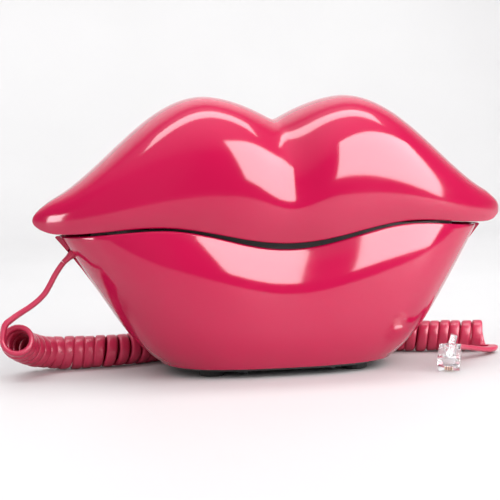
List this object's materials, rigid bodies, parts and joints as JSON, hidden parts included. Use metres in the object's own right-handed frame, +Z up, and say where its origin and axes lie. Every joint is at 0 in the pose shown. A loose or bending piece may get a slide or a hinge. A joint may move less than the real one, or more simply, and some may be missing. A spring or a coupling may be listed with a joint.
{
  "type": "novelty shaped telephone",
  "caption": "Corded desk telephone shaped like a pair of lips: the upper lip lifts off as the handset with keys under it, the lower lip is the base.",
  "frame": {"origin": "on the ground under the middle of the telephone, without its cord", "axes": "+Z up, +X along the mouth towards the right tip seen from the front, the front is -Y"},
  "size_m": [0.2374, 0.1011, 0.1247],
  "materials": {
    "pink_plastic": "high gloss moulded, hot pink",
    "cord_pink": "satin flexible cord jacket",
    "white_plastic": "satin moulded keys",
    "black_rubber": "matte",
    "black_plastic": "matte moulded",
    "green_board": "solder mask",
    "steel": "zinc plated",
    "brass": "satin",
    "clear_plastic": "clear moulded plastic"
  },
  "bodies": {
    "base": {"base_front_shell": "pink_plastic", "base_rear_shell": "pink_plastic", "cradle_deck": "black_plastic", "strain_relief": "cord_pink", "cord_lead": "cord_pink", "cord_coil": "cord_pink", "cord_tail": "cord_pink", "foot_front_left": "black_rubber", "foot_rear_left": "black_rubber", "foot_front_right": "black_rubber", "foot_rear_right": "black_rubber", "rest_pad_front_left": "black_rubber", "rest_pad_rear_left": "black_rubber", "rest_pad_front_right": "black_rubber", "rest_pad_rear_right": "black_rubber", "bottom_plate": "black_plastic", "line_jack": "black_plastic", "hook_switch": "black_plastic", "ringer_switch_body": "black_plastic", "tone_switch_body": "black_plastic", "base_board": "green_board", "base_weight": "steel", "hook_spring": "steel", "base_screw_front_left": "steel", "base_screw_rear_left": "steel", "base_screw_front_right": "steel", "base_screw_rear_right": "steel", "ringer": "brass", "modular_plug": "clear_plastic"},
    "handset": {"handset_shell": "pink_plastic", "handset_cover": "pink_plastic", "keypad_mat": "black_rubber", "handset_board": "green_board", "handset_weight": "steel", "receiver_speaker": "black_plastic", "microphone": "steel", "handset_jack": "black_plastic", "cover_screw_front_left": "steel", "cover_screw_rear_left": "steel", "cover_screw_front_right": "steel", "cover_screw_rear_right": "steel"},
    "key_1": {"key_1": "white_plastic"},
    "key_2": {"key_2": "white_plastic"},
    "key_3": {"key_3": "white_plastic"},
    "key_4": {"key_4": "white_plastic"},
    "key_5": {"key_5": "white_plastic"},
    "key_6": {"key_6": "white_plastic"},
    "key_7": {"key_7": "white_plastic"},
    "key_8": {"key_8": "white_plastic"},
    "key_9": {"key_9": "white_plastic"},
    "key_star": {"key_star": "white_plastic"},
    "key_0": {"key_0": "white_plastic"},
    "key_hash": {"key_hash": "white_plastic"},
    "key_redial": {"key_redial": "white_plastic"},
    "key_flash": {"key_flash": "white_plastic"},
    "hook_plunger": {"hook_plunger": "white_plastic"},
    "ringer_switch_knob": {"ringer_switch_knob": "black_plastic"},
    "tone_switch_knob": {"tone_switch_knob": "black_plastic"}
  },
  "joints": [
    {"name": "handset_lift", "type": "slide", "parent": "base", "child": "handset", "axis": [0, 0, 1], "range_m": [0, 0.12]},
    {"name": "hook_rise", "type": "slide", "parent": "base", "child": "hook_plunger", "axis": [0, 0, 1], "range_m": [0, 0.003], "deforming": ["hook_spring"]},
    {"name": "key_1_press", "type": "slide", "parent": "handset", "child": "key_1", "axis": [0, 0, 1], "range_m": [0, 0.0012], "stiffness_N_per_m": 300, "springref_m": -0.001},
    {"name": "key_2_press", "type": "slide", "parent": "handset", "child": "key_2", "axis": [0, 0, 1], "range_m": [0, 0.0012], "stiffness_N_per_m": 300, "springref_m": -0.001},
    {"name": "key_3_press", "type": "slide", "parent": "handset", "child": "key_3", "axis": [0, 0, 1], "range_m": [0, 0.0012], "stiffness_N_per_m": 300, "springref_m": -0.001},
    {"name": "key_4_press", "type": "slide", "parent": "handset", "child": "key_4", "axis": [0, 0, 1], "range_m": [0, 0.0012], "stiffness_N_per_m": 300, "springref_m": -0.001},
    {"name": "key_5_press", "type": "slide", "parent": "handset", "child": "key_5", "axis": [0, 0, 1], "range_m": [0, 0.0012], "stiffness_N_per_m": 300, "springref_m": -0.001},
    {"name": "key_6_press", "type": "slide", "parent": "handset", "child": "key_6", "axis": [0, 0, 1], "range_m": [0, 0.0012], "stiffness_N_per_m": 300, "springref_m": -0.001},
    {"name": "key_7_press", "type": "slide", "parent": "handset", "child": "key_7", "axis": [0, 0, 1], "range_m": [0, 0.0012], "stiffness_N_per_m": 300, "springref_m": -0.001},
    {"name": "key_8_press", "type": "slide", "parent": "handset", "child": "key_8", "axis": [0, 0, 1], "range_m": [0, 0.0012], "stiffness_N_per_m": 300, "springref_m": -0.001},
    {"name": "key_9_press", "type": "slide", "parent": "handset", "child": "key_9", "axis": [0, 0, 1], "range_m": [0, 0.0012], "stiffness_N_per_m": 300, "springref_m": -0.001},
    {"name": "key_star_press", "type": "slide", "parent": "handset", "child": "key_star", "axis": [0, 0, 1], "range_m": [0, 0.0012], "stiffness_N_per_m": 300, "springref_m": -0.001},
    {"name": "key_0_press", "type": "slide", "parent": "handset", "child": "key_0", "axis": [0, 0, 1], "range_m": [0, 0.0012], "stiffness_N_per_m": 300, "springref_m": -0.001},
    {"name": "key_hash_press", "type": "slide", "parent": "handset", "child": "key_hash", "axis": [0, 0, 1], "range_m": [0, 0.0012], "stiffness_N_per_m": 300, "springref_m": -0.001},
    {"name": "key_redial_press", "type": "slide", "parent": "handset", "child": "key_redial", "axis": [0, 0, 1], "range_m": [0, 0.0012], "stiffness_N_per_m": 300, "springref_m": -0.001},
    {"name": "key_flash_press", "type": "slide", "parent": "handset", "child": "key_flash", "axis": [0, 0, 1], "range_m": [0, 0.0012], "stiffness_N_per_m": 300, "springref_m": -0.001},
    {"name": "ringer_switch_slide", "type": "slide", "parent": "base", "child": "ringer_switch_knob", "axis": [1, 0, 0], "range_m": [-0.0015, 0.0015]},
    {"name": "tone_switch_slide", "type": "slide", "parent": "base", "child": "tone_switch_knob", "axis": [1, 0, 0], "range_m": [-0.0015, 0.0015]}
  ],
  "couplings": [
    {"joint": "hook_rise", "follows": "handset_lift", "ratio": 0.025}
  ]
}
